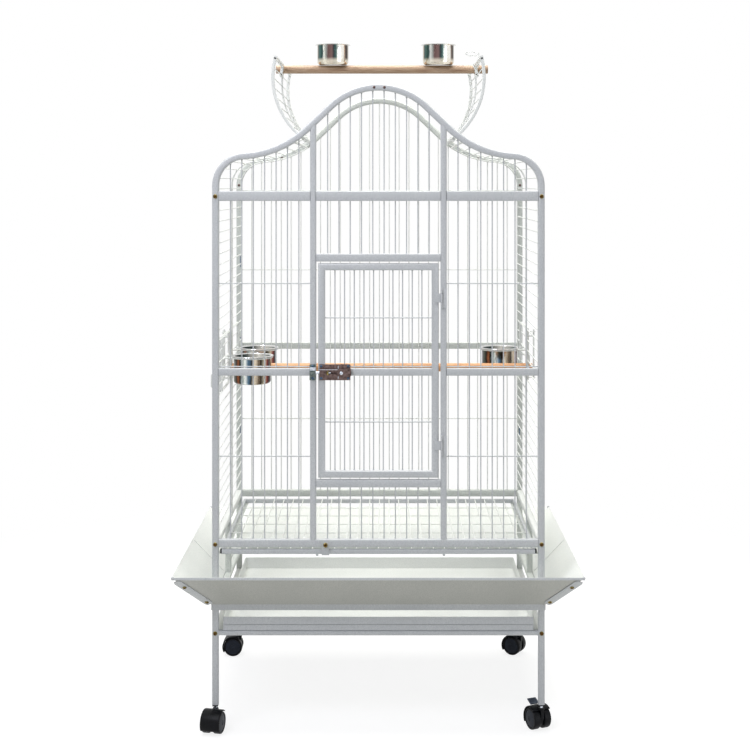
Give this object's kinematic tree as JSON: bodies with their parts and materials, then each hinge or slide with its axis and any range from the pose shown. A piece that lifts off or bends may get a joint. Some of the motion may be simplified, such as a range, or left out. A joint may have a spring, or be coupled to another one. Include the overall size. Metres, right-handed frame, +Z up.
{
  "type": "bird cage",
  "caption": "Parrot cage on a wheeled stand, with an arched front, a hinged roof that opens to a play perch with cups, swing-out feeders, seed guards, grate and tray.",
  "frame": {"origin": "on the floor, under the middle of the cage", "axes": "+X to the right of somebody in front of the cage, -Y out of its front, +Z up"},
  "size_m": [0.985, 0.756, 1.7047],
  "materials": {
    "powder_coated_steel": "fine hammered powder coat",
    "stainless_steel": "bright polished",
    "dark_plated_steel": "dark bronze plating",
    "bright_plated_steel": "bright nickel plating",
    "yellow_zinc": "yellow zinc plating",
    "beech_dowel": "sanded",
    "black_nylon": "moulded satin",
    "grey_nylon": "moulded satin"
  },
  "bodies": {
    "cage": {"front_panel": "powder_coated_steel", "back_panel": "powder_coated_steel", "left_side_panel": "powder_coated_steel", "right_side_panel": "powder_coated_steel", "lower_door_hinge": "powder_coated_steel", "upper_door_hinge": "powder_coated_steel", "latch_keeper": "dark_plated_steel", "inner_perch": "beech_dowel", "stand_front": "powder_coated_steel", "stand_back": "powder_coated_steel", "stand_left": "powder_coated_steel", "stand_right": "powder_coated_steel", "tray_rail_left": "powder_coated_steel", "tray_rail_right": "powder_coated_steel", "front_guard": "powder_coated_steel", "back_guard": "powder_coated_steel", "left_guard": "powder_coated_steel", "right_guard": "powder_coated_steel", "guard_bracket_front_left": "powder_coated_steel", "guard_bracket_front_right": "powder_coated_steel", "guard_bracket_back_left": "powder_coated_steel", "guard_bracket_back_right": "powder_coated_steel", "frame_screw_1": "yellow_zinc", "frame_screw_2": "yellow_zinc", "frame_screw_3": "yellow_zinc", "frame_screw_4": "yellow_zinc", "frame_screw_5": "yellow_zinc", "frame_screw_6": "yellow_zinc"},
    "main_door": {"main_door": "powder_coated_steel", "latch_case": "dark_plated_steel"},
    "latch_bolt": {"latch_bolt": "bright_plated_steel"},
    "grate": {"grate": "powder_coated_steel", "thumb_screw": "yellow_zinc"},
    "tray": {"tray": "powder_coated_steel"},
    "roof_left": {"roof_left": "powder_coated_steel"},
    "roof_right": {"roof_right": "powder_coated_steel"},
    "roof_hook": {"roof_hook": "powder_coated_steel"},
    "play_perch": {"play_perch": "beech_dowel", "left_cup": "stainless_steel", "right_cup": "stainless_steel"},
    "front_left_feeder_door": {"front_left_feeder_door": "powder_coated_steel"},
    "front_left_bowl": {"front_left_bowl": "stainless_steel"},
    "back_left_feeder_door": {"back_left_feeder_door": "powder_coated_steel"},
    "back_left_bowl": {"back_left_bowl": "stainless_steel"},
    "back_right_feeder_door": {"back_right_feeder_door": "powder_coated_steel"},
    "back_right_bowl": {"back_right_bowl": "stainless_steel"},
    "caster_front_left": {"caster_housing_front_left": "black_nylon"},
    "wheels_front_left": {"caster_wheels_front_left": "black_nylon"},
    "caster_front_right": {"caster_housing_front_right": "black_nylon"},
    "wheels_front_right": {"caster_wheels_front_right": "black_nylon"},
    "brake_front_right": {"brake_lever_front_right": "grey_nylon"},
    "caster_back_left": {"caster_housing_back_left": "black_nylon"},
    "wheels_back_left": {"caster_wheels_back_left": "black_nylon"},
    "caster_back_right": {"caster_housing_back_right": "black_nylon"},
    "wheels_back_right": {"caster_wheels_back_right": "black_nylon"},
    "brake_back_right": {"brake_lever_back_right": "grey_nylon"}
  },
  "joints": [
    {"name": "main_door_hinge", "type": "hinge", "parent": "cage", "child": "main_door", "pos_m": [0.1546, -0.2944, 0.878], "axis": [0, 0, 1], "range_deg": [0, 165]},
    {"name": "latch_bolt_slide", "type": "slide", "parent": "main_door", "child": "latch_bolt", "axis": [1, 0, 0], "range_m": [0, 0.0165], "stiffness_N_per_m": 120, "springref_m": -0.01},
    {"name": "grate_slide", "type": "slide", "parent": "cage", "child": "grate", "axis": [0, -1, 0], "range_m": [0, 0.45]},
    {"name": "tray_slide", "type": "slide", "parent": "cage", "child": "tray", "axis": [0, -1, 0], "range_m": [0, 0.45]},
    {"name": "roof_left_hinge", "type": "hinge", "parent": "cage", "child": "roof_left", "pos_m": [-0.185, 0, 1.449], "axis": [0, 1, 0], "range_deg": [0, 75.5]},
    {"name": "roof_right_hinge", "type": "hinge", "parent": "cage", "child": "roof_right", "pos_m": [0.185, 0, 1.449], "axis": [0, -1, 0], "range_deg": [0, 75.6]},
    {"name": "roof_hook_hinge", "type": "hinge", "parent": "roof_right", "child": "roof_hook", "pos_m": [0.2535, -0.042, 1.6475], "axis": [0, 1, 0], "range_deg": [0, 60]},
    {"name": "play_perch_lift", "type": "slide", "parent": "cage", "child": "play_perch", "axis": [0, 0, 1], "range_m": [0, 0.45]},
    {"name": "front_left_feeder_hinge", "type": "hinge", "parent": "cage", "child": "front_left_feeder_door", "pos_m": [-0.4105, -0.012, 0.884], "axis": [0, 0, -1], "range_deg": [0, 85]},
    {"name": "front_left_bowl_lift", "type": "slide", "parent": "front_left_feeder_door", "child": "front_left_bowl", "axis": [0, 0, 1], "range_m": [0, 0.12]},
    {"name": "back_left_feeder_hinge", "type": "hinge", "parent": "cage", "child": "back_left_feeder_door", "pos_m": [-0.4105, 0.012, 0.884], "axis": [0, 0, 1], "range_deg": [0, 85]},
    {"name": "back_left_bowl_lift", "type": "slide", "parent": "back_left_feeder_door", "child": "back_left_bowl", "axis": [0, 0, 1], "range_m": [0, 0.12]},
    {"name": "back_right_feeder_hinge", "type": "hinge", "parent": "cage", "child": "back_right_feeder_door", "pos_m": [0.4105, 0.012, 0.884], "axis": [0, 0, -1], "range_deg": [0, 85]},
    {"name": "back_right_bowl_lift", "type": "slide", "parent": "back_right_feeder_door", "child": "back_right_bowl", "axis": [0, 0, 1], "range_m": [0, 0.12]},
    {"name": "caster_front_left_swivel", "type": "hinge", "parent": "cage", "child": "caster_front_left", "pos_m": [-0.3985, -0.284, 0.064], "axis": [0, 0, 1], "continuous": true},
    {"name": "caster_front_left_roll", "type": "hinge", "parent": "caster_front_left", "child": "wheels_front_left", "pos_m": [-0.4021, -0.29959, 0.026], "axis": [-0.9744, 0.225, 0], "continuous": true},
    {"name": "caster_front_right_swivel", "type": "hinge", "parent": "cage", "child": "caster_front_right", "pos_m": [0.3985, -0.284, 0.064], "axis": [0, 0, 1], "continuous": true},
    {"name": "caster_front_right_roll", "type": "hinge", "parent": "caster_front_right", "child": "wheels_front_right", "pos_m": [0.39187, -0.26944, 0.026], "axis": [0.91, 0.4147, 0], "continuous": true},
    {"name": "brake_front_right_press", "type": "hinge", "parent": "caster_front_right", "child": "brake_front_right", "pos_m": [0.38569, -0.2559, 0.05399], "axis": [-0.91, -0.4147, 0], "range_deg": [0, 15]},
    {"name": "caster_back_left_swivel", "type": "hinge", "parent": "cage", "child": "caster_back_left", "pos_m": [-0.3985, 0.284, 0.064], "axis": [0, 0, 1], "continuous": true},
    {"name": "caster_back_left_roll", "type": "hinge", "parent": "caster_back_left", "child": "wheels_back_left", "pos_m": [-0.4145, 0.284, 0.026], "axis": [0, 1, 0], "continuous": true},
    {"name": "caster_back_right_swivel", "type": "hinge", "parent": "cage", "child": "caster_back_right", "pos_m": [0.3985, 0.284, 0.064], "axis": [0, 0, 1], "continuous": true},
    {"name": "caster_back_right_roll", "type": "hinge", "parent": "caster_back_right", "child": "wheels_back_right", "pos_m": [0.38464, 0.292, 0.026], "axis": [0.5, 0.866, 0], "continuous": true},
    {"name": "brake_back_right_press", "type": "hinge", "parent": "caster_back_right", "child": "brake_back_right", "pos_m": [0.37175, 0.29944, 0.05399], "axis": [-0.5, -0.866, 0], "range_deg": [0, 15]}
  ],
  "couplings": [
    {"joint": "roof_right_hinge", "follows": "roof_left_hinge", "ratio": 1},
    {"joint": "roof_hook_hinge", "follows": "roof_left_hinge", "ratio": 0.794},
    {"joint": "play_perch_lift", "follows": "roof_left_hinge", "m_per_rad": 0.3412}
  ]
}
